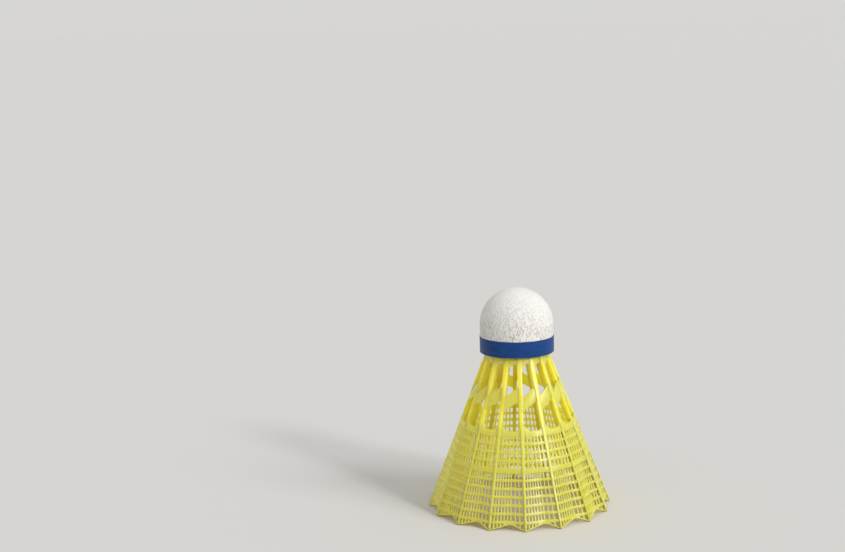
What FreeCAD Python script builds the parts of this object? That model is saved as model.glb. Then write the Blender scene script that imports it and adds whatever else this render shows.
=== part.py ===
import FreeCAD, Part
import math
import os
from FreeCAD import Vector

# Badminton shuttlecock with a moulded nylon skirt, standing nose up on the tips of its ribs.
# Millimetres. +Z is the axis, towards the nose, and z = 0 is the plane of the rib tips.

# ---- skirt: the cone that the outsides of the ribs lie on ----
RIB_COUNT = 16
SECTOR = 360.0 / RIB_COUNT
RIM_RADIUS = 33.0
TAPER = 0.385
VANE_TOP = 56.2

# ---- ribs ----
RIB_WIDTH_LOW = 0.8
RIB_WIDTH_HIGH = 1.85
RIB_DEPTH_LOW = 1.9
RIB_DEPTH_HIGH = 1.25
FIN_BOTTOM = 30.0
FIN_DEPTH_LOW = 1.5
FIN_DEPTH_HIGH = 3.4

# ---- panels between the ribs ----
PANEL_THICKNESS = 0.6
PANEL_SCALE = 0.99
FOLD_ANGLE = 0.6 * SECTOR
FOLD_SCALE = 0.945
FOLD_BAR_WIDTH = 1.0
FOLD_BAR_PROUD = 0.1
VALLEY_HEIGHT = 1.8
RIM_BORDER = 0.6
LEDGE_HEIGHT = 0.8

# ---- rows of slots ----
FIRST_ROW_TOP = 30.3
ROW_PITCH = 2.76
PLEATED_PITCH = 2.70
SLOT_HEIGHT = 1.75
FLAT_ROWS = 4
PLEATED_ROWS = 7
FLAT_SLOTS = 6
NARROW_SLOTS = 6
WIDE_SLOTS = 3
SLOT_SHARE = 0.66
LOWEST_SLOT = 0.5
LEDGE_BAR = 0.8
PLEATED_ROW_TOP = FIRST_ROW_TOP - FLAT_ROWS * ROW_PITCH - LEDGE_BAR
PLEAT_TOP = PLEATED_ROW_TOP + 0.5 * (ROW_PITCH - SLOT_HEIGHT + LEDGE_BAR)

# ---- windows: heights of their edges at the rib on the left and at the rib on the right ----
UPPER_WINDOW_TOP_LEFT = 53.0
UPPER_WINDOW_TOP_RIGHT = 54.1
STRUT_TOP_LEFT = 43.2
STRUT_TOP_RIGHT = 46.8
STRUT_BOTTOM_LEFT = 38.6
STRUT_BOTTOM_RIGHT = 42.0
HOOP_TOP = 32.25
HOOP_CORNER_LEFT = 33.5
HOOP_CORNER_RIGHT = 33.0

# ---- angles from the near rib where the slanted corners of the windows start and end ----
CHAMFER_START_LEFT = 4.2
CHAMFER_END_LEFT = 7.9
CHAMFER_END_RIGHT = SECTOR - 5.9
CHAMFER_START_RIGHT = SECTOR - 3.2

# ---- how far a shape runs past what it is cut back to ----
BEYOND = 1.0

# ---- hub: the flange under the cork and the spigot that is glued into it ----
SEAT_HEIGHT = 56.6
HUB_RADIUS = 7.8
HUB_WALL = 1.0
HUB_LENGTH = 9.0
FLANGE_THICKNESS = 1.0

# ---- head ----
HEAD_TOP = 79.4
HEAD_RADIUS = 13.15
COVER_THICKNESS = 0.4
CORK_JOINT_HEIGHT = 68.0
BAND_TOP = 62.3
BAND_THICKNESS = 0.12
GLUE_THICKNESS = 0.15

# ---- sizes worked out from the ones above ----
DOME_CENTRE = HEAD_TOP - HEAD_RADIUS
CORK_RADIUS = HEAD_RADIUS - COVER_THICKNESS
HUB_TOP = SEAT_HEIGHT + HUB_LENGTH
SOCKET_RADIUS = HUB_RADIUS + GLUE_THICKNESS
SOCKET_TOP = HUB_TOP + GLUE_THICKNESS
FLANGE_BOTTOM = SEAT_HEIGHT - FLANGE_THICKNESS


def cone_radius(height):
    """Radius of the outside of the ribs."""
    return RIM_RADIUS - TAPER * height


def rib_width(height):
    """Width of a rib, which grows towards the head."""
    return RIB_WIDTH_LOW + (RIB_WIDTH_HIGH - RIB_WIDTH_LOW) * height / VANE_TOP


def rib_depth(height):
    """Depth of a rib from its outside towards the axis."""
    return RIB_DEPTH_LOW + (RIB_DEPTH_HIGH - RIB_DEPTH_LOW) * height / VANE_TOP


def fin_depth(height):
    """Depth of the fin that stiffens the upper part of a rib, again from the rib's outside."""
    share = (height - FIN_BOTTOM) / (FLANGE_BOTTOM - FIN_BOTTOM)
    return FIN_DEPTH_LOW + (FIN_DEPTH_HIGH - FIN_DEPTH_LOW) * share


def rib_half_angle(height):
    """Angle round the axis from the middle of a rib to its side."""
    return math.degrees(math.asin(0.5 * rib_width(height) / cone_radius(height)))


def polygon_face(corners):
    """Flat face inside a closed run of corners."""
    return Part.Face(Part.makePolygon(corners + corners[:1]))


def six_sided(low, high):
    """Solid between two four-cornered ends, with flat sides."""
    faces = [polygon_face(low), polygon_face(high)]
    for here in range(4):
        after = (here + 1) % 4
        faces.append(polygon_face([low[here], low[after], high[after], high[here]]))
    solid = Part.makeSolid(Part.makeShell(faces))
    if solid.Volume < 0:
        solid.reverse()
    return solid


def bar(low, high, angle):
    """Straight tapered bar. Each end is (height, x_min, x_max, y_min, y_max), with x outwards."""
    ends = []
    for height, x_min, x_max, y_min, y_max in (low, high):
        ends.append([
            Vector(x_min, y_min, height),
            Vector(x_max, y_min, height),
            Vector(x_max, y_max, height),
            Vector(x_min, y_max, height),
        ])
    solid = six_sided(ends[0], ends[1])
    solid.rotate(Vector(0, 0, 0), Vector(0, 0, 1), angle)
    return solid


def rib_end(height, depth):
    """Section of a rib at a height, for bar()."""
    outside = cone_radius(height)
    half = 0.5 * rib_width(height)
    return (height, outside - depth, outside, -half, half)


def fold_bar_end(height):
    """Section at a height of the plain strip along the fold of a panel, for bar()."""
    outside = FOLD_SCALE * cone_radius(height) + FOLD_BAR_PROUD
    half = 0.5 * FOLD_BAR_WIDTH
    return (height, outside - PANEL_THICKNESS, outside, -half, half)


def next_rib_end(height):
    """Section at a height of all that lies past the near side of the next rib, for bar()."""
    half = 0.5 * rib_width(height)
    return (height, -BEYOND, RIM_RADIUS + BEYOND, -half, 0.5 * RIM_RADIUS)


def unit_point(angle, scale):
    """Point at an angle on a circle of radius scale."""
    return Vector(scale * math.cos(math.radians(angle)), scale * math.sin(math.radians(angle)), 0)


class Plate:
    """Flat plate between two lines that run to the apex of the cone, each (angle, scale)."""

    def __init__(self, left, right):
        self.start = unit_point(*left)
        self.run = unit_point(*right) - self.start

    def point(self, angle, height):
        """Point of the outside face at an angle round the axis and a height."""
        ray = unit_point(angle, 1.0)
        reach = self.start.cross(self.run).z / ray.cross(self.run).z
        flat = ray * (reach * cone_radius(height))
        return Vector(flat.x, flat.y, height)

    def solid(self, outline, openings=()):
        """Plate with the given outline and openings, each a run of (angle, height)."""
        wires = []
        for run in [outline] + list(openings):
            corners = [self.point(angle, height) for angle, height in run]
            wires.append(Part.makePolygon(corners + corners[:1]))
        face = Part.makeFace(wires, "Part::FaceMakerBullseye")
        inward = (self.point(0, 0) - self.point(0, 1)).cross(self.point(SECTOR, 0) - self.point(0, 0))
        inward.normalize()
        if inward.dot(self.point(0.5 * SECTOR, 0)) > 0:
            inward = inward * -1
        return face.extrude(inward * PANEL_THICKNESS)


def row_top(row):
    """Height of the top of a row of slots, counted down from the first row."""
    if row < FLAT_ROWS:
        return FIRST_ROW_TOP - row * ROW_PITCH
    return PLEATED_ROW_TOP - (row - FLAT_ROWS) * PLEATED_PITCH


def rim_height(angle):
    """Height of the rim at an angle: zero at the ribs, highest at the fold."""
    if angle < FOLD_ANGLE:
        return VALLEY_HEIGHT * angle / FOLD_ANGLE
    return VALLEY_HEIGHT * (SECTOR - angle) / (SECTOR - FOLD_ANGLE)


def slots(row, count, start, end):
    """One row of equal slots between two angles, cut short where they come near the rim."""
    top = row_top(row)
    pitch = (end - start) / count
    found = []
    for number in range(count):
        middle = start + (number + 0.5) * pitch
        left = middle - 0.5 * SLOT_SHARE * pitch
        right = middle + 0.5 * SLOT_SHARE * pitch
        left_bottom = max(top - SLOT_HEIGHT, rim_height(left) + RIM_BORDER)
        right_bottom = max(top - SLOT_HEIGHT, rim_height(right) + RIM_BORDER)
        if top - max(left_bottom, right_bottom) > LOWEST_SLOT:
            found.append([(left, top), (right, top), (right, right_bottom), (left, left_bottom)])
    return found


def rib():
    return bar(rib_end(0, rib_depth(0)), rib_end(VANE_TOP, rib_depth(VANE_TOP)), 0)


def fin():
    """Deeper part of a rib, from the hoop up to the underside of the hub's flange."""
    low = rib_end(FIN_BOTTOM, fin_depth(FIN_BOTTOM))
    high = rib_end(FLANGE_BOTTOM, fin_depth(FLANGE_BOTTOM))
    return bar(low, high, 0)


def fold_bar():
    return bar(fold_bar_end(VALLEY_HEIGHT), fold_bar_end(PLEAT_TOP), FOLD_ANGLE)


def flat_plate():
    return Plate((0, PANEL_SCALE), (SECTOR, PANEL_SCALE))


def collar_strip():
    """Strip above the upper window, with the slanted top left corner of the window."""
    return flat_plate().solid([
        (0, VANE_TOP + BEYOND),
        (SECTOR, VANE_TOP + BEYOND),
        (SECTOR, UPPER_WINDOW_TOP_RIGHT),
        (0.5 * SECTOR, UPPER_WINDOW_TOP_RIGHT),
        (CHAMFER_END_LEFT, UPPER_WINDOW_TOP_LEFT),
        (0, UPPER_WINDOW_TOP_LEFT),
    ])


def strut():
    """Slanted strut between the two windows."""
    return flat_plate().solid([
        (0, STRUT_TOP_LEFT),
        (SECTOR, STRUT_TOP_RIGHT),
        (SECTOR, STRUT_BOTTOM_RIGHT),
        (0, STRUT_BOTTOM_LEFT),
    ])


def flat_panel():
    """Hoop under the lower window and the rows of equal slots below it."""
    openings = []
    for row in range(FLAT_ROWS):
        side = rib_half_angle(row_top(row))
        openings += slots(row, FLAT_SLOTS, side, SECTOR - side)
    return flat_plate().solid([
        (0, HOOP_CORNER_LEFT),
        (CHAMFER_START_LEFT, HOOP_CORNER_LEFT),
        (CHAMFER_END_LEFT, HOOP_TOP),
        (CHAMFER_END_RIGHT, HOOP_TOP),
        (CHAMFER_START_RIGHT, HOOP_CORNER_RIGHT),
        (SECTOR, HOOP_CORNER_RIGHT),
        (SECTOR, PLEAT_TOP),
        (0, PLEAT_TOP),
    ], openings)


def ledge():
    """Small ledge where the flat panel turns into the pleated one."""
    top = PLEAT_TOP + 0.5 * LEDGE_HEIGHT
    radius = cone_radius(PLEAT_TOP)
    corners = [
        unit_point(0, PANEL_SCALE * radius),
        unit_point(FOLD_ANGLE, FOLD_SCALE * radius - 0.5 * PANEL_THICKNESS),
        unit_point(SECTOR, PANEL_SCALE * radius),
    ]
    face = polygon_face([Vector(corner.x, corner.y, top) for corner in corners])
    return face.extrude(Vector(0, 0, -LEDGE_HEIGHT))


def pleat_facet(left, right, count, start, end):
    """One side of the pleat, from line to line, with its slots between angles start and end."""
    openings = []
    for row in range(FLAT_ROWS, FLAT_ROWS + PLEATED_ROWS):
        side = rib_half_angle(row_top(row))
        strip = math.degrees(0.5 * FOLD_BAR_WIDTH / cone_radius(row_top(row)))
        first = side if start == 0 else start + strip
        last = SECTOR - side if end == SECTOR else end - strip
        openings += slots(row, count, first, last)
    return Plate(left, right).solid([
        (start, PLEAT_TOP),
        (end, PLEAT_TOP),
        (end, rim_height(end)),
        (start, rim_height(start)),
    ], openings)


def narrow_facet():
    return pleat_facet((0, PANEL_SCALE), (FOLD_ANGLE, FOLD_SCALE), NARROW_SLOTS, 0, FOLD_ANGLE)


def wide_facet():
    return pleat_facet((FOLD_ANGLE, FOLD_SCALE), (SECTOR, PANEL_SCALE), WIDE_SLOTS, FOLD_ANGLE, SECTOR)


def vane():
    """One rib with the panel on its left, as far as the side of the next rib."""
    panels = [collar_strip(), strut(), flat_panel(), ledge(), narrow_facet(), fold_bar(), wide_facet()]
    whole = rib().multiFuse([fin()] + panels)
    past = bar(next_rib_end(-BEYOND), next_rib_end(VANE_TOP + 2 * BEYOND), SECTOR)
    width = 4 * RIM_RADIUS
    room = Part.makeBox(width, width, VANE_TOP, Vector(-0.5 * width, -0.5 * width, 0))
    return whole.cut(past).common(room).removeSplitter()


def turned(outline):
    """Solid of revolution about the axis of an outline of (radius, height) points."""
    face = polygon_face([Vector(radius, 0, height) for radius, height in outline])
    return face.revolve(Vector(0, 0, 0), Vector(0, 0, 1), 360)


def dome_outline(radius, base):
    """Edges of a half section from base up to the dome, and the point where the section starts."""
    rise = max(base - DOME_CENTRE, 0)
    start_angle = math.asin(rise / radius)
    start = Vector(radius * math.cos(start_angle), 0, max(base, DOME_CENTRE))
    half_angle = 0.5 * (start_angle + 0.5 * math.pi)
    middle = Vector(radius * math.cos(half_angle), 0, DOME_CENTRE + radius * math.sin(half_angle))
    top = Vector(0, 0, DOME_CENTRE + radius)
    return start, middle, top


def domed(radius, base):
    """Solid with a flat base, a round wall and a dome."""
    start, middle, top = dome_outline(radius, base)
    edges = [Part.Arc(start, middle, top).toShape()]
    edges.append(Part.LineSegment(top, Vector(0, 0, base)).toShape())
    edges.append(Part.LineSegment(Vector(0, 0, base), Vector(start.x, 0, base)).toShape())
    if start.z > base:
        edges.append(Part.LineSegment(Vector(start.x, 0, base), start).toShape())
    return Part.Face(Part.Wire(edges)).revolve(Vector(0, 0, 0), Vector(0, 0, 1), 360)


def skirt_hub():
    """Ring that the vanes hang from, its flange under the cork and the hollow spigot."""
    inner = cone_radius(VANE_TOP) - RIB_DEPTH_HIGH
    bore = HUB_RADIUS - HUB_WALL
    return turned([
        (inner, FLANGE_BOTTOM),
        (inner, VANE_TOP),
        (cone_radius(VANE_TOP), VANE_TOP),
        (cone_radius(SEAT_HEIGHT), SEAT_HEIGHT),
        (HUB_RADIUS, SEAT_HEIGHT),
        (HUB_RADIUS, HUB_TOP),
        (bore, HUB_TOP),
        (bore, FLANGE_BOTTOM),
    ])


def hub_adhesive():
    """Film of glue round the spigot and over its end."""
    return turned([
        (HUB_RADIUS, SEAT_HEIGHT),
        (SOCKET_RADIUS, SEAT_HEIGHT),
        (SOCKET_RADIUS, SOCKET_TOP),
        (HUB_RADIUS - HUB_WALL, SOCKET_TOP),
        (HUB_RADIUS - HUB_WALL, HUB_TOP),
        (HUB_RADIUS, HUB_TOP),
    ])


def cork_body():
    """Rear half of the cork, with the blind socket for the spigot."""
    height = CORK_JOINT_HEIGHT - SEAT_HEIGHT
    whole = domed(CORK_RADIUS, SEAT_HEIGHT)
    lower = Part.makeCylinder(HEAD_RADIUS, height, Vector(0, 0, SEAT_HEIGHT))
    socket = Part.makeCylinder(SOCKET_RADIUS, SOCKET_TOP - SEAT_HEIGHT, Vector(0, 0, SEAT_HEIGHT))
    return whole.common(lower).cut(socket)


def cork_nose():
    """Front half of the cork."""
    return domed(CORK_RADIUS, CORK_JOINT_HEIGHT)


def head_cover():
    """Thin skin over both halves of the cork, open at the rear."""
    return domed(HEAD_RADIUS, SEAT_HEIGHT).cut(domed(CORK_RADIUS, SEAT_HEIGHT))


def speed_band():
    """Tape round the rear of the head."""
    height = BAND_TOP - SEAT_HEIGHT
    base = Vector(0, 0, SEAT_HEIGHT)
    outer = Part.makeCylinder(HEAD_RADIUS + BAND_THICKNESS, height, base)
    return outer.cut(Part.makeCylinder(HEAD_RADIUS, height, base))


os.makedirs("parts", exist_ok=True)

for name, build in (
    ("cork_nose", cork_nose),
    ("cork_body", cork_body),
    ("head_cover", head_cover),
    ("speed_band", speed_band),
    ("hub_adhesive", hub_adhesive),
    ("skirt_hub", skirt_hub),
):
    build().exportStep(f"parts/{name}.step")

first_vane = vane()
for number in range(RIB_COUNT):
    # The first rib stands at -Y, and the others follow anticlockwise seen from above.
    turned_vane = first_vane.copy()
    turned_vane.rotate(Vector(0, 0, 0), Vector(0, 0, 1), number * SECTOR - 90)
    turned_vane.exportStep(f"parts/vane_{number + 1:02d}.step")
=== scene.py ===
import math

import bpy
import bmesh
from mathutils import Matrix, Vector, noise


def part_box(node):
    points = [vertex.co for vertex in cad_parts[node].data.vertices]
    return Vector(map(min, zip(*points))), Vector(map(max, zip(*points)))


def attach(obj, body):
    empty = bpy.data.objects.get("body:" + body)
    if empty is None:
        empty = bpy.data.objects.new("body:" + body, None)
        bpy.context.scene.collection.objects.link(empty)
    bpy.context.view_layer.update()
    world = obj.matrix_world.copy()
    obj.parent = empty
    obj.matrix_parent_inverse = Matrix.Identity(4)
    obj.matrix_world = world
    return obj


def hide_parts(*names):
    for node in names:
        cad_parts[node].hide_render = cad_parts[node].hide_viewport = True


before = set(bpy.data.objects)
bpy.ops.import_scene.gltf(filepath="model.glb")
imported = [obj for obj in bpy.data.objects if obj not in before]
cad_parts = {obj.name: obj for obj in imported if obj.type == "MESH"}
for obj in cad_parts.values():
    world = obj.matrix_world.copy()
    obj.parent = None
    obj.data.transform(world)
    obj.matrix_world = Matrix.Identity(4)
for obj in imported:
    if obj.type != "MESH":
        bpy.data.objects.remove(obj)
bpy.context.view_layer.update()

# ---------------------------------------------------------------------------------------------
# Sizes. Lengths are in millimetres until MM turns them into Blender's metres. Only the lengths
# in the node trees are in metres from the start.
# ---------------------------------------------------------------------------------------------
MM = 0.001


def top_of(node):
    """Height of the top of a CAD node."""
    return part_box(node)[1].z / MM


def bottom_of(node):
    """Height of the bottom of a CAD node."""
    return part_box(node)[0].z / MM


def radius_of(node):
    """Radius of a CAD node that is round the axis."""
    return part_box(node)[1].x / MM


RIB_COUNT = sum(name.startswith("vane_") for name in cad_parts)
SECTOR = 2 * math.pi / RIB_COUNT
FIRST_ANGLE = -0.5 * math.pi
RIM_RADIUS = -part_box("vane_01")[0].y / MM
TAPER = 0.385
SLOPE = math.atan(TAPER)

SEAT = bottom_of("head_cover")
HEAD_TOP = top_of("head_cover")
HEAD_RADIUS = radius_of("head_cover")
CORK_RADIUS = radius_of("cork_body")
DOME_CENTRE = HEAD_TOP - HEAD_RADIUS
BAND_TOP = top_of("speed_band")
BAND_RADIUS = radius_of("speed_band")
FLANGE_BOTTOM = bottom_of("skirt_hub")
HUB_TOP = top_of("skirt_hub")
HUB_RADIUS = 7.8
HUB_WALL = 1.0
HUB_ROUND = 0.15
INTO_COLLAR = 0.5
COLLAR_TOP = SEAT - 0.02
FIN_TOP = FLANGE_BOTTOM - 0.1

# ribs
RIB_WIDTH_LOW = 0.54
RIB_WIDTH_HIGH = 1.85
RIB_DEPTHS = ((0.0, 1.9), (30.0, 1.6), (FIN_TOP, 3.4), (FLANGE_BOTTOM, 1.3), (COLLAR_TOP, 1.1))
RIB_CROWN = 0.05
RIB_STEPS = (-1.0, -0.6, 0.0, 0.6, 1.0)

# panels
PANEL_DEPTH = 0.2
PANEL_THICKNESS = 0.6
FOLD_SHARE = 0.585
FOLD_BAR = 0.022
FOLD_DEPTH = 1.55
FOLD_START = 0.45
FOLD_ROUND = 0.12
FOLD_POWER = 8
PANEL_OVERLAP = 0.3

# rows of slots
FIRST_ROW_TOP = 30.3
ROW_PITCH = 2.76
PLEATED_PITCH = 2.70
SLOT_HEIGHT = 1.8
FLAT_ROWS = 4
PLEATED_ROWS = 7
FLAT_SLOTS = 6
NARROW_SLOTS = 6
WIDE_SLOTS = 3
FLAT_OPEN = 0.58
NARROW_OPEN = 0.60
WIDE_OPEN = 0.76
RIM_BORDER = 0.4
SIDE_MARGIN = 0.014
VALLEY_HEIGHT = 1.8
RIM_CURVE = 1.4
LEDGE_BAR = 0.8
LEDGE_EASE = 0.15
LEAST_SLOT = 0.35
LEAST_STEP = 0.2

# windows: height of each edge at shares of the way from one rib to the next
HOOP_TOP = ((0.0, 33.9), (0.10, 33.5), (0.30, 32.25), (0.80, 32.25), (0.95, 33.0), (1.0, 33.2))
STRUT_BOTTOM = ((0.0, 38.7), (1.0, 41.9))
STRUT_TOP = ((0.0, 43.3), (1.0, 46.6))
WINDOW_TOP = ((0.0, 52.6), (0.15, 53.0), (0.5, 54.1), (1.0, 54.1))
WINDOW_ROWS = 3
STRUT_ROWS = 2

# rounded edges
EDGE_ROUND = 0.07
RIB_ROUND = 0.12
ROUND_SEGMENTS = 2
SHARP_ANGLE = math.radians(35)


# ---------------------------------------------------------------------------------------------
# Helpers
# ---------------------------------------------------------------------------------------------
def along(points, share):
    """Height on a run of (share, height) points."""
    for (start, low), (end, high) in zip(points, points[1:]):
        if share <= end:
            return low + (high - low) * (share - start) / (end - start)
    return points[-1][1]


def smooth(value, low, high):
    """Smooth step from 0 at low to 1 at high."""
    share = min(max((value - low) / (high - low), 0.0), 1.0)
    return share * share * (3 - 2 * share)


def mix(low, high, share):
    """Value a share of the way from low to high."""
    return low + (high - low) * share


def new_object(name, mesh, material, slot, *nodes):
    """Object that rides on the part and stands for some CAD nodes."""
    piece = bpy.data.objects.new(name, mesh)
    bpy.context.scene.collection.objects.link(piece)
    piece.data.materials.append(material)
    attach(piece, "root")
    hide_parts(*nodes)
    return piece


def finished_mesh(work, name):
    """Smooth mesh made from a bmesh, which is freed."""
    mesh = bpy.data.meshes.new(name)
    work.to_mesh(mesh)
    work.free()
    mesh.shade_smooth()
    return mesh


def bevel(piece, width, segments):
    """Rounds the edges that carry a bevel weight."""
    modifier = piece.modifiers.new("rounded edges", "BEVEL")
    modifier.limit_method = "WEIGHT"
    modifier.width = width * MM
    modifier.segments = segments
    modifier.use_clamp_overlap = False
    modifier.harden_normals = False


# ---------------------------------------------------------------------------------------------
# Materials
# ---------------------------------------------------------------------------------------------
# Sockets of a mix node that carry colours
COLOUR_A = 6
COLOUR_B = 7
COLOUR_RESULT = 2


class Nodes:
    """Short way to write a node tree."""

    def __init__(self, name):
        self.material = bpy.data.materials.new(name)
        self.material.use_nodes = True
        self.tree = self.material.node_tree
        self.shader = self.tree.nodes["Principled BSDF"]
        coordinates = self.tree.nodes.new("ShaderNodeTexCoord")
        self.place = coordinates.outputs["Object"]

    def add(self, kind, inputs=None, **settings):
        """New node with its settings made and its inputs set or linked."""
        node = self.tree.nodes.new(kind)
        for key, value in settings.items():
            setattr(node, key, value)
        for key, value in (inputs or {}).items():
            self.put(node.inputs[key], value)
        return node

    def put(self, socket, value):
        """Links a socket to an output, or sets it to a value."""
        if isinstance(value, bpy.types.NodeSocket):
            self.tree.links.new(value, socket)
        else:
            socket.default_value = value

    def scaled(self, x, y, z):
        """Place on the object, scaled along each axis."""
        mapping = self.add("ShaderNodeMapping", {"Vector": self.place})
        mapping.inputs["Scale"].default_value = (x, y, z)
        return mapping.outputs["Vector"]

    def noise(self, scale, detail=3.0, roughness=0.5, vector=None, distortion=0.0):
        node = self.add("ShaderNodeTexNoise", {
            "Vector": vector or self.place,
            "Scale": scale,
            "Detail": detail,
            "Roughness": roughness,
            "Distortion": distortion,
        })
        return node.outputs["Fac"]

    def voronoi(self, scale, feature="F1", output="Distance"):
        node = self.add("ShaderNodeTexVoronoi", {
            "Vector": self.place,
            "Scale": scale,
        }, feature=feature)
        return node.outputs[output]

    def ramp(self, value, *stops):
        node = self.add("ShaderNodeValToRGB", {"Fac": value})
        elements = node.color_ramp.elements
        while len(elements) < len(stops):
            elements.new(0.5)
        for element, (position, colour) in zip(elements, stops):
            element.position = position
            element.color = (*colour, 1) if len(colour) == 3 else colour
        return node.outputs["Color"]

    def span(self, value, low, high, new_low, new_high):
        """Value carried from one range into another."""
        node = self.add("ShaderNodeMapRange", {
            "Value": value,
            "From Min": low,
            "From Max": high,
            "To Min": new_low,
            "To Max": new_high,
        })
        return node.outputs["Result"]

    def blend(self, share, first, second, kind="MIX"):
        node = self.add("ShaderNodeMix", data_type="RGBA", blend_type=kind)
        self.put(node.inputs["Factor"], share)
        self.put(node.inputs[COLOUR_A], first)
        self.put(node.inputs[COLOUR_B], second)
        return node.outputs[COLOUR_RESULT]

    def maths(self, kind, first, second):
        node = self.add("ShaderNodeMath", operation=kind)
        self.put(node.inputs[0], first)
        self.put(node.inputs[1], second)
        return node.outputs[0]

    def bump(self, height, distance, strength=1.0, normal=None):
        inputs = {"Height": height, "Distance": distance, "Strength": strength}
        if normal is not None:
            inputs["Normal"] = normal
        return self.add("ShaderNodeBump", inputs).outputs["Normal"]

    def set(self, **values):
        """Sets inputs of the shader, with _ for the spaces in their names, and gives the material."""
        for key, value in values.items():
            self.put(self.shader.inputs[key.replace("_", " ")], value)
        return self.material


def nylon():
    """Fluorescent yellow nylon: satin, a little cloudy, with light passing into its thin walls."""
    nodes = Nodes("nylon")
    cloud = nodes.noise(180, detail=3)
    colour = nodes.ramp(cloud, (0.3, (0.96, 0.725, 0.058)), (0.7, (0.98, 0.80, 0.092)))
    grain = nodes.noise(4200, detail=2)
    flow = nodes.noise(500, detail=2, vector=nodes.scaled(1, 1, 0.35))
    shine = nodes.span(flow, 0.3, 0.7, 0.26, 0.40)
    normal = nodes.bump(grain, 0.00004, 0.5, nodes.bump(flow, 0.0002, 0.25))
    material = nodes.set(Base_Color=colour, Roughness=shine, Normal=normal)
    shader = nodes.shader
    shader.inputs["Subsurface Weight"].default_value = 1.0
    shader.inputs["Subsurface Radius"].default_value = (1.0, 0.85, 0.3)
    shader.inputs["Subsurface Scale"].default_value = 0.006
    shader.inputs["IOR"].default_value = 1.53
    return material


def leather():
    """Off-white synthetic leather with fine upright wrinkles, deepest low on the head, and painted shade
    darkening their creases towards brown.
    """
    nodes = Nodes("leather")
    drawn = nodes.scaled(1.0, 1.0, 0.34)
    field = nodes.noise(2500, detail=1, roughness=0.5, vector=drawn, distortion=0.2)
    dash = nodes.span(field, 0.35, 0.48, 0.0, 1.0)
    fine = nodes.noise(3600, detail=2, roughness=0.6, vector=drawn)
    patch = nodes.span(nodes.noise(80, detail=2), 0.35, 0.65, 1.0, 0.6)
    parts = nodes.add("ShaderNodeSeparateXYZ", {"Vector": nodes.place})
    low = nodes.span(parts.outputs["Z"], BAND_TOP * MM, HEAD_TOP * MM, 1.0, 0.15)
    strength = nodes.maths("MULTIPLY", patch, low)
    # Painted shade: the creases of the wrinkles are darkened towards brown, most where the wrinkles run
    # deepest, low on the head.
    crease_shade = nodes.maths("MULTIPLY", nodes.span(dash, 0.0, 0.9, 0.50, 0.0), strength)
    colour = nodes.blend(crease_shade, (0.755, 0.735, 0.71, 1), (0.36, 0.28, 0.21, 1))
    height = nodes.maths("ADD", dash, nodes.maths("MULTIPLY", fine, 0.6))
    normal = nodes.bump(height, nodes.maths("MULTIPLY", strength, 0.00042), 0.8)
    shine = nodes.span(fine, 0.3, 0.7, 0.60, 0.80)
    return nodes.set(Base_Color=colour, Roughness=shine, Normal=normal)


def tape():
    """Blue satin tape with faint streaks round it."""
    nodes = Nodes("tape")
    streaks = nodes.noise(260, detail=4, vector=nodes.scaled(1, 1, 6))
    colour = nodes.ramp(streaks, (0.3, (0.001, 0.032, 0.150)), (0.7, (0.003, 0.052, 0.220)))
    grain = nodes.noise(3000, detail=2)
    shine = nodes.span(streaks, 0.3, 0.7, 0.36, 0.50)
    normal = nodes.bump(grain, 0.00003, 0.4, nodes.bump(streaks, 0.0001, 0.2))
    nodes.shader.inputs["Specular IOR Level"].default_value = 0.25
    return nodes.set(Base_Color=colour, Roughness=shine, Normal=normal)


def cork(name, scale, dark, light):
    """Cork: pale cells with darker flecks."""
    nodes = Nodes(name)
    granule = nodes.voronoi(scale, output="Color")
    gap = nodes.voronoi(scale, feature="DISTANCE_TO_EDGE")
    fleck = nodes.noise(scale * 2.5, detail=5, roughness=0.65)
    body = nodes.ramp(fleck, (0.35, dark), (0.6, light))
    tint = nodes.blend(0.35, body, granule, "SOFT_LIGHT")
    edge = nodes.span(gap, 0.0, 0.08, 0.7, 0.0)
    colour = nodes.blend(edge, tint, (0.10, 0.055, 0.03, 1))
    normal = nodes.bump(fleck, 0.0003, 0.5, nodes.bump(gap, 0.0002, 0.4))
    return nodes.set(Base_Color=colour, Roughness=nodes.span(fleck, 0.3, 0.7, 0.75, 0.95), Normal=normal)


def glue():
    """Amber glue, glossy and uneven."""
    nodes = Nodes("glue")
    ripple = nodes.noise(700, detail=3)
    colour = nodes.ramp(ripple, (0.3, (0.62, 0.48, 0.22)), (0.7, (0.78, 0.68, 0.42)))
    normal = nodes.bump(ripple, 0.0002, 0.5)
    return nodes.set(Base_Color=colour, Roughness=nodes.span(ripple, 0.3, 0.7, 0.12, 0.3), Normal=normal)


NYLON = nylon()
LEATHER = leather()
TAPE = tape()
NOSE_CORK = cork("natural cork", 420, (0.30, 0.17, 0.085), (0.60, 0.40, 0.23))
BODY_CORK = cork("composite cork", 650, (0.24, 0.13, 0.065), (0.55, 0.36, 0.20))
GLUE = glue()


# ---------------------------------------------------------------------------------------------
# Skirt: each vane is one rib and the panel up to the next rib, cut from a lattice of cells.
# Columns run across the vane, rows run up it, and layers run in from the outside of the rib.
# ---------------------------------------------------------------------------------------------
def cone_radius(height):
    """Radius of the outside of the ribs."""
    return RIM_RADIUS - TAPER * height


def rib_width(height):
    return mix(RIB_WIDTH_LOW, RIB_WIDTH_HIGH, height / COLLAR_TOP)


def rib_half_angle(height):
    """Half of the angle that a rib takes up."""
    return 0.5 * rib_width(height) / cone_radius(height)


def slot_edges(count, start, end, open_share):
    """Left and right edges of a run of equal slots that fills a stretch of the panel."""
    pitch = (end - start) / (count - 1 + open_share)
    edges = []
    for number in range(count):
        left = start + number * pitch
        edges.append((left, left + open_share * pitch))
    return edges


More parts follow.
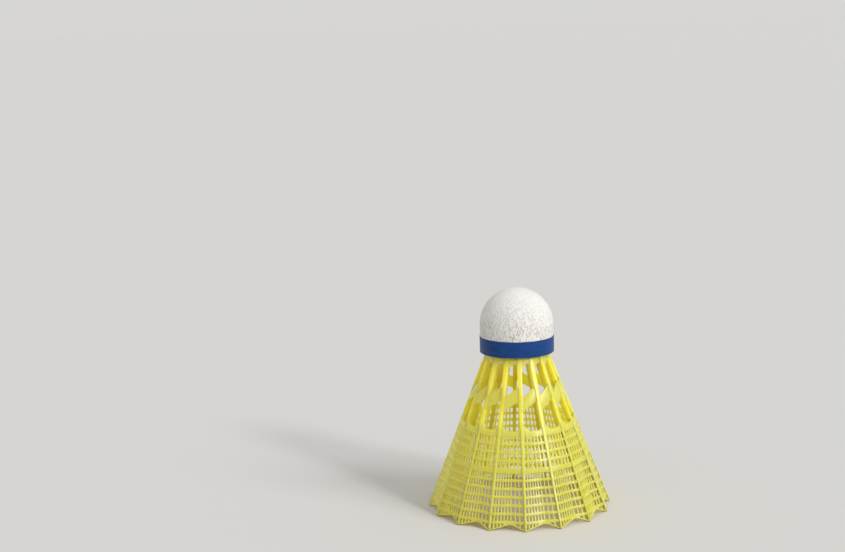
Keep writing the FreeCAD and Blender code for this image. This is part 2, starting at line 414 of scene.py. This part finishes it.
def pleated_columns():
    """Column lines where the panel is pleated: two for each slot and one on the fold."""
    narrow = slot_edges(NARROW_SLOTS, SIDE_MARGIN, FOLD_SHARE - FOLD_BAR, NARROW_OPEN)
    wide = slot_edges(WIDE_SLOTS, FOLD_SHARE + FOLD_BAR, 1 - SIDE_MARGIN, WIDE_OPEN)
    lines = [edge for pair in narrow for edge in pair]
    lines.append(FOLD_SHARE)
    lines += [edge for pair in wide for edge in pair]
    return [0.0] + lines + [1.0]


def flat_columns():
    """The same number of lines where it is flat: three for each slot and one between two slots."""
    lines = []
    for left, right in slot_edges(FLAT_SLOTS, SIDE_MARGIN, 1 - SIDE_MARGIN, FLAT_OPEN):
        lines += [left, 0.5 * (left + right), right]
    fold = 2 * NARROW_SLOTS
    lines.insert(fold, 0.5 * (lines[fold - 1] + lines[fold]))
    return [0.0] + lines + [1.0]


PLEATED_COLUMNS = pleated_columns()
FLAT_COLUMNS = flat_columns()
PANEL_LINES = len(PLEATED_COLUMNS)
FOLD_LINE = 2 * NARROW_SLOTS + 1
RIB_LINES = len(RIB_STEPS)
PLEAT_TOP = FIRST_ROW_TOP - FLAT_ROWS * ROW_PITCH - LEDGE_BAR
LEDGE_TOP = PLEAT_TOP + ROW_PITCH - SLOT_HEIGHT + LEDGE_BAR


def row_top(row):
    """Height of the top of a row of slots, counted down from the first row."""
    if row < FLAT_ROWS:
        return FIRST_ROW_TOP - row * ROW_PITCH
    return PLEAT_TOP - (row - FLAT_ROWS) * PLEATED_PITCH


def pleating(height):
    """1 where the panel is pleated, 0 where it is flat, and in between on the ledge."""
    return 1 - smooth(height, PLEAT_TOP + LEDGE_EASE, LEDGE_TOP - LEDGE_EASE)


def rim_height(share):
    """Height of the scalloped rim: pointed at the ribs and round at the folds."""
    if share < FOLD_SHARE:
        reach = max(share, 0.0) / FOLD_SHARE
    else:
        reach = max(1 - share, 0.0) / (1 - FOLD_SHARE)
    return VALLEY_HEIGHT * (1 - (1 - reach) ** RIM_CURVE)


def row_lines(share):
    """Heights of all row lines at a share of the way across, from the rim up, and their names."""
    rim = rim_height(share)
    lines = [("rim", rim)]
    for row in reversed(range(FLAT_ROWS + PLEATED_ROWS)):
        top = row_top(row)
        bottom = max(top - SLOT_HEIGHT, rim + RIM_BORDER)
        lines.append((f"slot {row}", max(bottom, lines[-1][1] + LEAST_STEP)))
        lines.append(("bar", max(top, lines[-1][1] + LEAST_STEP)))
    hoop = along(HOOP_TOP, share)
    strut_bottom = along(STRUT_BOTTOM, share)
    strut_top = along(STRUT_TOP, share)
    window_top = along(WINDOW_TOP, share)
    lines += [("window", mix(hoop, strut_bottom, step / WINDOW_ROWS)) for step in range(WINDOW_ROWS)]
    lines += [("strut", mix(strut_bottom, strut_top, step / STRUT_ROWS)) for step in range(STRUT_ROWS)]
    lines += [("window", mix(strut_top, window_top, step / WINDOW_ROWS)) for step in range(WINDOW_ROWS)]
    lines += [("collar", window_top), ("collar", FIN_TOP), ("collar", FLANGE_BOTTOM)]
    lines.append(("end", COLLAR_TOP))
    return lines


ROW_KINDS = [kind for kind, height in row_lines(0.5)]
ROWS = len(ROW_KINDS) - 1
RIB_COLUMNS = RIB_LINES - 1
# The last column runs on past the panel, into the side of the next rib.
COLUMNS = RIB_COLUMNS + (PANEL_LINES - 1) + 1
# Layers of points, from the outside in. There is one layer of cells between each two of them.
RIB_TOP, PANEL_OUT, PANEL_IN, RIB_IN = range(4)
LAYERS = RIB_IN
# Where the panel is flat, a slot takes two columns and the bar after it the third.
SLOT_COLUMNS = 3


def column_share(line, height):
    """Share of the way across the panel of a column line."""
    if line < RIB_LINES:
        return 0.0
    number = min(line - RIB_COLUMNS, PANEL_LINES - 1)
    return mix(FLAT_COLUMNS[number], PLEATED_COLUMNS[number], pleating(height))


def column_angle(line, height):
    """Angle of a column line from the middle of the rib."""
    half = rib_half_angle(height)
    if line < RIB_LINES:
        return half * RIB_STEPS[line]
    if line == COLUMNS:
        return SECTOR - half + PANEL_OVERLAP / cone_radius(height)
    return half + (SECTOR - 2 * half) * column_share(line, height)


def fold_profile(share):
    """Depth of the pleat across a panel: straight sides that meet in a round fold."""
    if share < FOLD_SHARE:
        reach = share / FOLD_SHARE
    else:
        reach = (1 - share) / (1 - FOLD_SHARE)
    reach = min(max(reach, 0.0), 1.0)
    return reach - FOLD_ROUND * reach ** FOLD_POWER


def depth_of(line, layer, share, height):
    """Level distance in from the outside of the rib."""
    if layer == RIB_TOP:
        side = RIB_STEPS[line] if line < RIB_LINES else 1.0
        return RIB_CROWN * side * side
    if layer == RIB_IN:
        return along(RIB_DEPTHS, height)
    pleat = mix(1.0, FOLD_START, height / PLEAT_TOP) * FOLD_DEPTH * pleating(height)
    depth = PANEL_DEPTH + pleat * fold_profile(share)
    if layer == PANEL_IN:
        depth += PANEL_THICKNESS * math.cos(SLOPE)
    return depth


def lattice_point(line, row, layer):
    """Place of a lattice point for a rib that stands at angle 0."""
    # The share depends a little on the height, and the height on the share: two rounds settle them.
    share = column_share(line, row_lines(0.0)[row][1])
    share = column_share(line, row_lines(share)[row][1])
    height = row_lines(share)[row][1]
    angle = column_angle(line, height)
    depth = depth_of(line, layer, share, height)
    radius = cone_radius(height) - depth
    # The walls are square to the slope of the skirt, so their insides lie a little lower.
    inside = layer in (PANEL_IN, RIB_IN) and row != ROWS
    drop = PANEL_THICKNESS * math.sin(SLOPE) if inside else 0.0
    place = max(height - drop, 0.0)
    return Vector((radius * math.cos(angle), radius * math.sin(angle), place)) * MM


def flat_slot_is_open(number):
    """Whether a panel column belongs to a slot where the panel is flat."""
    if number in (FOLD_LINE - 1, FOLD_LINE):
        return False
    cell = number - 1 if number < FOLD_LINE else number - 2
    return 0 <= cell < SLOT_COLUMNS * FLAT_SLOTS and cell % SLOT_COLUMNS != SLOT_COLUMNS - 1


def pleated_slot_is_open(number, row):
    """Whether a panel column belongs to a slot of a pleated row, and the rim leaves room for it."""
    steps = number if number < FOLD_LINE else number - FOLD_LINE
    if steps % 2 == 0 or number >= PANEL_LINES - 1:
        return False
    top = row_top(row)
    rim = max(rim_height(PLEATED_COLUMNS[number]), rim_height(PLEATED_COLUMNS[number + 1]))
    return top - max(rim + RIM_BORDER, top - SLOT_HEIGHT) > LEAST_SLOT


def slot_is_open(column, row):
    """Whether a column belongs to a slot of a row of slots."""
    number = column - RIB_COLUMNS
    if row < FLAT_ROWS:
        return flat_slot_is_open(number)
    return pleated_slot_is_open(number, row)


def is_solid(column, row, layer):
    """Whether a cell of the lattice is nylon."""
    if not (0 <= column < COLUMNS and 0 <= row < ROWS and 0 <= layer < LAYERS):
        return False
    if column < RIB_COLUMNS:
        return True
    kind = ROW_KINDS[row]
    if layer != PANEL_OUT or kind == "window":
        return False
    if kind.startswith("slot"):
        return not slot_is_open(column, int(kind.split()[1]))
    return True


# Each side of a cell: the way to the neighbour beyond it, and its four corners.
CELL_SIDES = (
    ((-1, 0, 0), ((0, 0, 0), (0, 0, 1), (0, 1, 1), (0, 1, 0))),
    ((1, 0, 0), ((1, 0, 0), (1, 1, 0), (1, 1, 1), (1, 0, 1))),
    ((0, -1, 0), ((0, 0, 0), (1, 0, 0), (1, 0, 1), (0, 0, 1))),
    ((0, 1, 0), ((0, 1, 0), (0, 1, 1), (1, 1, 1), (1, 1, 0))),
    ((0, 0, -1), ((0, 0, 0), (0, 1, 0), (1, 1, 0), (1, 0, 0))),
    ((0, 0, 1), ((0, 0, 1), (1, 0, 1), (1, 1, 1), (0, 1, 1))),
)


def lattice_mesh(name):
    """Skin of the solid cells of the lattice, with bevel weights on its sharp outer edges."""
    work = bmesh.new()
    points = {}
    places = {}

    def corner(line, row, layer):
        key = (line, row, layer)
        if key not in points:
            points[key] = work.verts.new(lattice_point(*key))
            places[points[key]] = key
        return points[key]

    for column in range(COLUMNS):
        for row in range(ROWS):
            for layer in range(LAYERS):
                if not is_solid(column, row, layer):
                    continue
                for (x, y, z), corners in CELL_SIDES:
                    if not is_solid(column + x, row + y, layer + z):
                        work.faces.new([corner(column + i, row + j, layer + k) for i, j, k in corners])
    bmesh.ops.recalc_face_normals(work, faces=work.faces)
    weight = work.edges.layers.float.new("bevel_weight_edge")
    for edge in work.edges:
        if edge.calc_face_angle(0) < SHARP_ANGLE or not edge.is_convex:
            continue
        on_rib = all(places[point][2] in (RIB_TOP, RIB_IN) for point in edge.verts)
        edge[weight] = 1.0 if on_rib else EDGE_ROUND / RIB_ROUND
    return finished_mesh(work, name)


def make_vanes():
    """One mesh, turned round the axis for each vane."""
    first = lattice_mesh("vane")
    for number in range(RIB_COUNT):
        node = f"vane_{number + 1:02d}"
        mesh = first.copy()
        mesh.transform(Matrix.Rotation(FIRST_ANGLE + number * SECTOR, 4, "Z"))
        piece = new_object(f"{node}_moulding", mesh, NYLON, "nylon", node)
        bevel(piece, RIB_ROUND, ROUND_SEGMENTS)


make_vanes()


# ---------------------------------------------------------------------------------------------
# Turned pieces: a closed outline of (radius, height) points spun round the axis
# ---------------------------------------------------------------------------------------------
CORNER_REACH = 0.45
CORNER_STEPS = 4
HUB_STEPS = 128


def rounded(outline, radius, steps=CORNER_STEPS):
    """Outline with its corners rounded, as far as the sides beside them leave room."""
    result = []
    count = len(outline)
    for number, corner in enumerate(outline):
        here = Vector(corner)
        before = Vector(outline[number - 1]) - here
        after = Vector(outline[(number + 1) % count]) - here
        reach = min(radius, CORNER_REACH * before.length, CORNER_REACH * after.length)
        start = here + before.normalized() * reach
        end = here + after.normalized() * reach
        for step in range(steps + 1):
            share = step / steps
            point = start * (1 - share) ** 2 + here * (2 * share * (1 - share)) + end * share ** 2
            result.append((point.x, point.y))
    return result


def add_rings(work, outline, steps, shift=None):
    """One ring of points round the axis for each point of the outline. shift(point) may move them."""
    rings = []
    for radius, height in outline:
        ring = []
        for step in range(steps):
            angle = 2 * math.pi * step / steps
            point = Vector((radius * math.cos(angle), radius * math.sin(angle), height))
            if shift:
                point = shift(point)
            ring.append(work.verts.new(point * MM))
        rings.append(ring)
    return rings


def join_rings(work, first, second):
    """Faces between two rings."""
    for step in range(len(first)):
        after = (step + 1) % len(first)
        work.faces.new((first[step], first[after], second[after], second[step]))


def turned_mesh(name, outline, steps, shift=None):
    """Closed mesh of revolution."""
    work = bmesh.new()
    rings = add_rings(work, outline, steps, shift)
    for first, second in zip(rings, rings[1:] + rings[:1]):
        join_rings(work, first, second)
    bmesh.ops.recalc_face_normals(work, faces=work.faces)
    return finished_mesh(work, name)


def make_hub():
    """Flange and spigot. The flange's edge lies inside the collar of the vanes."""
    outline = rounded([
        (cone_radius(FLANGE_BOTTOM) - INTO_COLLAR, FLANGE_BOTTOM),
        (cone_radius(SEAT) - INTO_COLLAR, SEAT),
        (HUB_RADIUS, SEAT),
        (HUB_RADIUS, HUB_TOP),
        (HUB_RADIUS - HUB_WALL, HUB_TOP),
        (HUB_RADIUS - HUB_WALL, FLANGE_BOTTOM),
    ], HUB_ROUND)
    mesh = turned_mesh("hub", outline, HUB_STEPS)
    new_object("skirt_hub_moulding", mesh, NYLON, "nylon", "skirt_hub")


make_hub()


# ---------------------------------------------------------------------------------------------
# Head
# ---------------------------------------------------------------------------------------------
HEAD_STEPS = 360
OUTER_WALL_STEPS = 36
OUTER_DOME_STEPS = 84
INNER_WALL_STEPS = 2
INNER_DOME_STEPS = 16
WRINKLE_SIZE = Vector((0.95, 0.95, 0.45))
WRINKLE_HEIGHT = 0.075
WRINKLE_SINK = 0.06
UNDER_BAND = 1.0
CLEAR_OF_BAND = 0.5
WARP_SIZE = 0.35
WARP_REACH = 1.2
FINE_SIZE = 2.1
FINE_START = Vector((7, 3, 5))
FINE_SHARE = 0.4
RIDGE_SHARE = 0.6
BAND_STEPS = 192
BAND_TUCK = 0.02
BAND_DROP = 0.05
BAND_ROUND = 0.06
BAND_ROUND_STEPS = 3
BAND_WAVE = 0.05
WAVE_SIZE = 3
WAVE_RISE = 0.2


def head_outline(radius, wall_steps, dome_steps):
    """Half section from the rear up the wall and over the dome, up to but without the axis."""
    points = []
    for step in range(wall_steps):
        points.append((radius, mix(SEAT, DOME_CENTRE, step / wall_steps)))
    for step in range(dome_steps):
        angle = 0.5 * math.pi * step / dome_steps
        points.append((radius * math.cos(angle), DOME_CENTRE + radius * math.sin(angle)))
    return points


def wrinkle_height(point):
    """Height of the leather at a point: long shallow wrinkles that run up the head."""
    place = point * WRINKLE_SIZE
    warp = noise.noise_vector(place * WARP_SIZE) * WARP_REACH
    ridged = 1 - 2 * abs(noise.noise(place + warp))
    fine = noise.noise(place * FINE_SIZE + FINE_START)
    return RIDGE_SHARE * ridged + FINE_SHARE * fine


def wrinkled(point):
    """Moves a point of the cover out or in by its wrinkles, which stop under the tape."""
    if point.z <= BAND_TOP - UNDER_BAND:
        return point
    centre = Vector((0, 0, min(point.z, DOME_CENTRE)))
    outward = (point - centre).normalized()
    fade = smooth(point.z, BAND_TOP - UNDER_BAND, BAND_TOP + CLEAR_OF_BAND)
    return point + outward * fade * (WRINKLE_HEIGHT * wrinkle_height(point) - WRINKLE_SINK)


def add_skin(work, outline, shift=None):
    """Open skin over a head outline, closed at the top. Gives its lowest ring."""
    rings = add_rings(work, outline, HEAD_STEPS, shift)
    for first, second in zip(rings, rings[1:]):
        join_rings(work, first, second)
    radius = outline[0][0]
    tip = work.verts.new(Vector((0, 0, DOME_CENTRE + radius)) * MM)
    last = rings[-1]
    for step in range(HEAD_STEPS):
        work.faces.new((last[step], last[(step + 1) % HEAD_STEPS], tip))
    return rings[0]


def make_cover():
    """Thin cover: outside with wrinkles, inside smooth, joined by a flat ring at the rear."""
    work = bmesh.new()
    outer = add_skin(work, head_outline(HEAD_RADIUS, OUTER_WALL_STEPS, OUTER_DOME_STEPS), wrinkled)
    inner = add_skin(work, head_outline(CORK_RADIUS, INNER_WALL_STEPS, INNER_DOME_STEPS))
    join_rings(work, outer, inner)
    bmesh.ops.recalc_face_normals(work, faces=work.faces)
    mesh = finished_mesh(work, "head cover")
    new_object("head_cover_leather", mesh, LEATHER, "cover", "head_cover")


def uneven(point):
    """Lifts or lowers a point of the tape a little, in slow waves round it."""
    angle = math.atan2(point.y, point.x)
    place = Vector((WAVE_SIZE * math.cos(angle), WAVE_SIZE * math.sin(angle), WAVE_RISE * point.z))
    wave = BAND_WAVE * noise.noise(place)
    return Vector((point.x, point.y, point.z + wave))


def make_band():
    """Tape round the rear of the head, with rounded edges that don't run quite level."""
    inner = HEAD_RADIUS - BAND_TUCK
    bottom = SEAT - BAND_DROP
    outline = rounded([
        (inner, bottom),
        (BAND_RADIUS, bottom),
        (BAND_RADIUS, BAND_TOP),
        (inner, BAND_TOP),
    ], BAND_ROUND, BAND_ROUND_STEPS)
    mesh = turned_mesh("band", outline, BAND_STEPS, uneven)
    new_object("speed_band_tape", mesh, TAPE, "band", "speed_band")


make_cover()
make_band()

# The pieces inside keep their CAD shapes and only take a material.
for node, material in (
    ("cork_nose", NOSE_CORK),
    ("cork_body", BODY_CORK),
    ("hub_adhesive", GLUE),
):
    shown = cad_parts[node]
    shown.data.materials.clear()
    shown.data.materials.append(material)


# ---------------------------------------------------------------------------------------------
# Camera, floor and light
# ---------------------------------------------------------------------------------------------
CAMERA_PLACE = Vector((-33.1, -538.1, 174.8))
CAMERA_LENS = 65.46
CAMERA_SENSOR = 36
CAMERA_NEAR = 10
CAMERA_FAR = 200000
CAMERA_PITCH = math.radians(9.529)
CAMERA_ROLL = math.radians(-1.517)
FLOOR_SIZE = 40000
FLOOR_SEGMENTS = 8
FLOOR_DROP = 0.2
FLOOR_COLOUR = (0.625, 0.622, 0.612, 1)
WORLD_COLOUR = (1, 0.99, 0.965, 1)
WORLD_STRENGTH = 0.68


def make_camera():
    """Camera that looks along the y axis, a little down, and is turned a little about its view."""
    data = bpy.data.cameras.new("camera")
    camera = bpy.data.objects.new("camera", data)
    bpy.context.scene.collection.objects.link(camera)
    data.sensor_width = CAMERA_SENSOR
    data.lens = CAMERA_LENS
    data.clip_start = CAMERA_NEAR * MM
    data.clip_end = CAMERA_FAR * MM
    camera.location = CAMERA_PLACE * MM
    forward = Vector((0, math.cos(CAMERA_PITCH), -math.sin(CAMERA_PITCH)))
    right = Vector((1, 0, 0))
    up = right.cross(forward)
    rolled_right = right * math.cos(CAMERA_ROLL) + up * math.sin(CAMERA_ROLL)
    rolled_up = up * math.cos(CAMERA_ROLL) - right * math.sin(CAMERA_ROLL)
    camera.rotation_euler = Matrix((rolled_right, rolled_up, -forward)).transposed().to_euler()
    bpy.context.scene.camera = camera


def make_floor():
    """Wide plain floor, a hair under the tips so that they don't share its plane."""
    work = bmesh.new()
    bmesh.ops.create_grid(work, x_segments=FLOOR_SEGMENTS, y_segments=FLOOR_SEGMENTS, size=FLOOR_SIZE * MM)
    mesh = bpy.data.meshes.new("floor")
    work.to_mesh(mesh)
    work.free()
    floor = bpy.data.objects.new("floor", mesh)
    floor.location.z = -FLOOR_DROP * MM
    bpy.context.scene.collection.objects.link(floor)
    nodes = Nodes("floor")
    nodes.set(Base_Color=FLOOR_COLOUR, Roughness=0.9)
    floor.data.materials.append(nodes.material)


def make_sun(name, azimuth, elevation, strength, softness):
    """Sun from a direction: azimuth from the front to the right, elevation and width in degrees."""
    data = bpy.data.lights.new(name, "SUN")
    data.energy = strength
    data.angle = math.radians(softness)
    light = bpy.data.objects.new(name, data)
    around = math.radians(azimuth)
    up = math.radians(elevation)
    toward = Vector((math.cos(up) * math.sin(around), -math.cos(up) * math.cos(around), math.sin(up)))
    light.rotation_euler = toward.to_track_quat("Z", "Y").to_euler()
    bpy.context.scene.collection.objects.link(light)


def make_world():
    """Even surroundings of a faintly warm white, as bright as the lit floor."""
    world = bpy.data.worlds.new("studio")
    bpy.context.scene.world = world
    world.use_nodes = True
    background = world.node_tree.nodes["Background"]
    background.inputs["Color"].default_value = WORLD_COLOUR
    background.inputs["Strength"].default_value = WORLD_STRENGTH


make_camera()
make_floor()
make_world()
make_sun("key", azimuth=58, elevation=38, strength=1.2, softness=25)
make_sun("strip", azimuth=43, elevation=27, strength=1.0, softness=9)
bpy.context.scene.view_settings.view_transform = "Standard"

bpy.context.view_layer.update()
